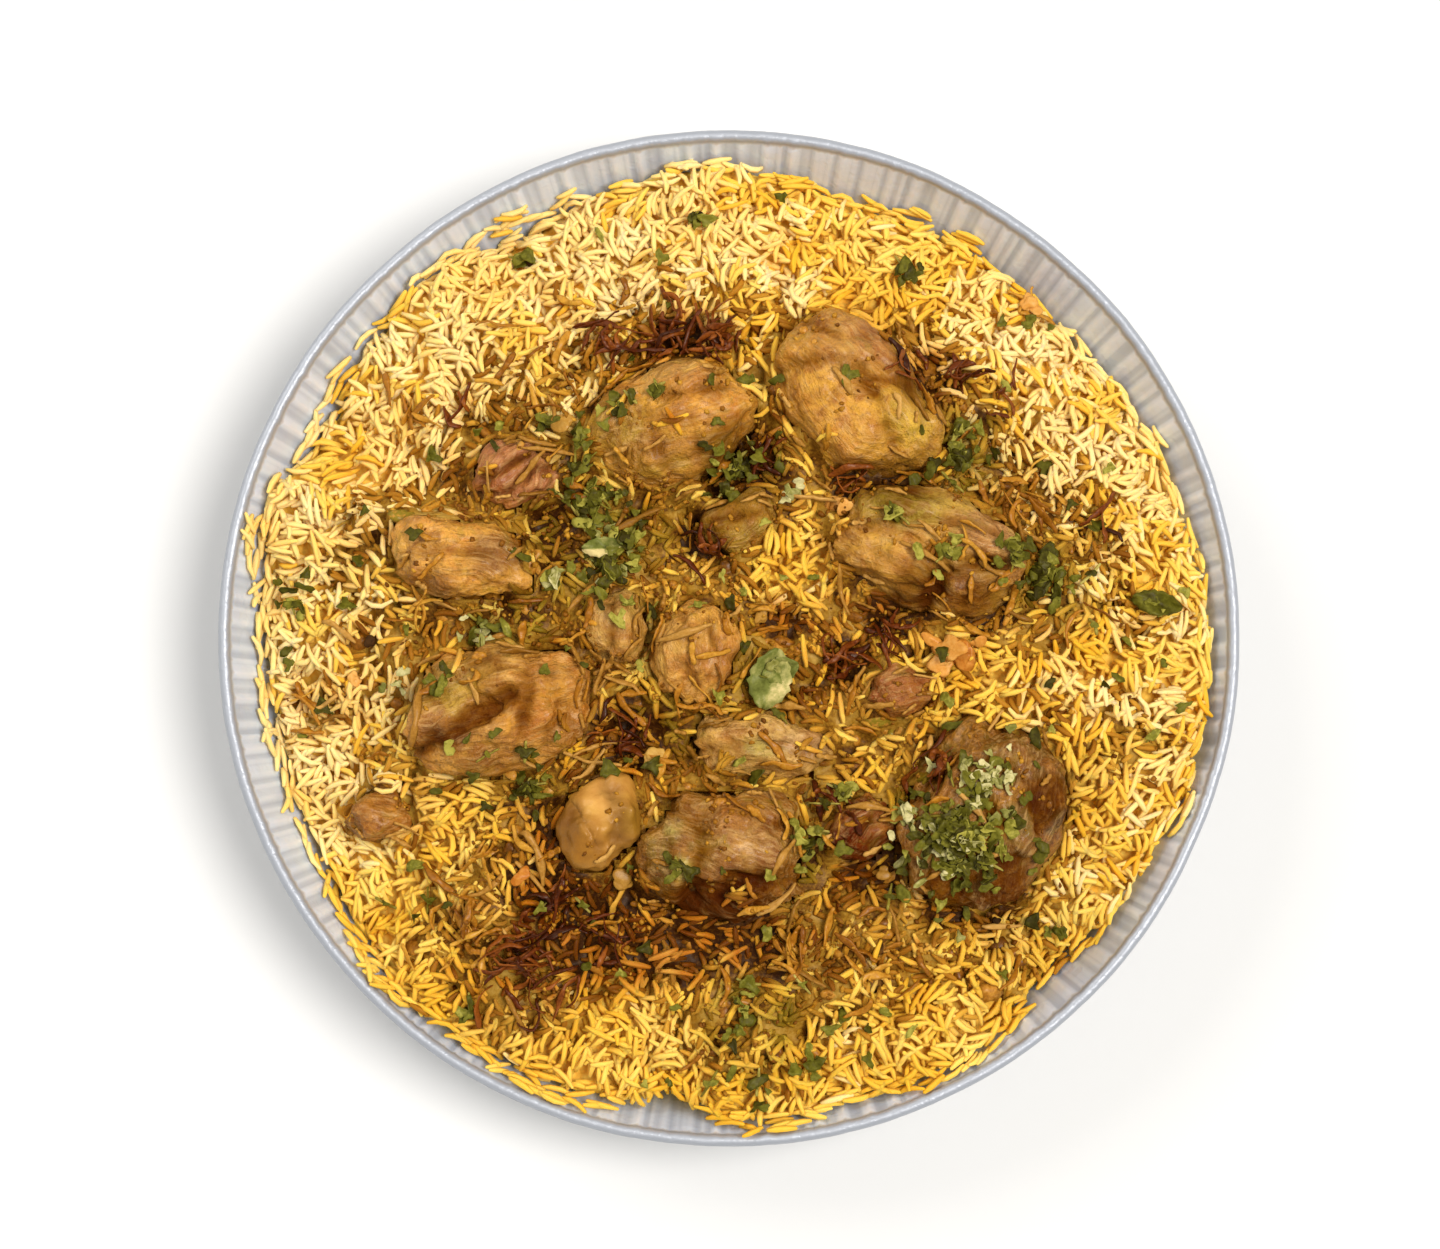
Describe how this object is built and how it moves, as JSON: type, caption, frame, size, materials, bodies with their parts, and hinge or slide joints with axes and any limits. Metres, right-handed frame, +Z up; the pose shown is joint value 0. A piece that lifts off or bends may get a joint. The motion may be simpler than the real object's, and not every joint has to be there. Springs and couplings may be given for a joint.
{
  "type": "biryani",
  "caption": "Chicken biryani heaped in a round foil tray with a rolled rim, topped with chicken pieces, potato, fried onion and chopped herbs.",
  "frame": {"origin": "on the table, under the middle of the tray's base", "axes": "+Z up; +X to the tray's right and +Y to its back, as it stands in front of the eater"},
  "size_m": [0.3, 0.3, 0.0767],
  "materials": {
    "foil": "bright pressed foil with a fluted wall and a smooth rolled rim",
    "rice": "cooked long rice, yellow with saffron, slightly shiny with fat",
    "chicken": "braised chicken in brown-orange masala, moist",
    "potato": "boiled potato stained yellow by the masala, moist"
  },
  "bodies": {
    "root": {"chicken_bit_back": "chicken", "chicken_bit_left": "chicken", "chicken_bit_middle": "chicken", "chicken_breast_back": "chicken", "chicken_leg_left": "chicken", "chicken_leg_right": "chicken", "chicken_lump_middle": "chicken", "chicken_round_right": "chicken", "chicken_shred_left": "chicken", "chicken_shred_middle": "chicken", "chicken_shred_right": "chicken", "chicken_slice_middle": "chicken", "chicken_strip_left": "chicken", "chicken_thigh_back": "chicken", "chicken_thigh_front": "chicken", "foil_tray": "foil", "potato_piece": "potato", "rice_heap": "rice"}
  },
  "joints": []
}
